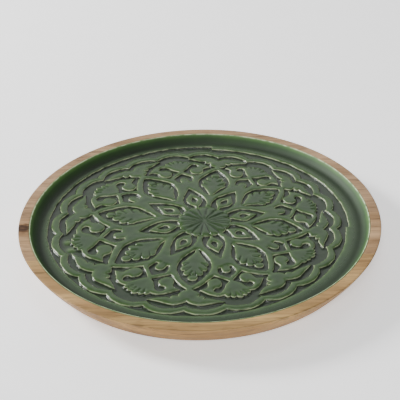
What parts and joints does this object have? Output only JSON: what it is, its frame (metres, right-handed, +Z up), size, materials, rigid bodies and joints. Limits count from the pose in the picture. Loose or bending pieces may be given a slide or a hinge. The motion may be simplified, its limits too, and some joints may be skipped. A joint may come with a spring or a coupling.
{
  "type": "serving plate",
  "caption": "Round shallow wooden serving plate with a flat rim, tapering wall and a dished inside lined with glossy enamel over a carved floral relief.",
  "frame": {"origin": "centre of the flat base, on the surface the plate stands on", "axes": "+Z up along the turning axis, X along the wood grain, -Y towards the viewer"},
  "size_m": [0.38, 0.38, 0.03],
  "materials": {
    "wood": "satin oiled",
    "enamel": "glossy translucent green enamel"
  },
  "bodies": {
    "root": {"board_front_edge": "wood", "board_front": "wood", "board_front_middle": "wood", "board_back_middle": "wood", "board_back": "wood", "board_back_edge": "wood", "enamel_lining": "enamel"}
  },
  "joints": []
}
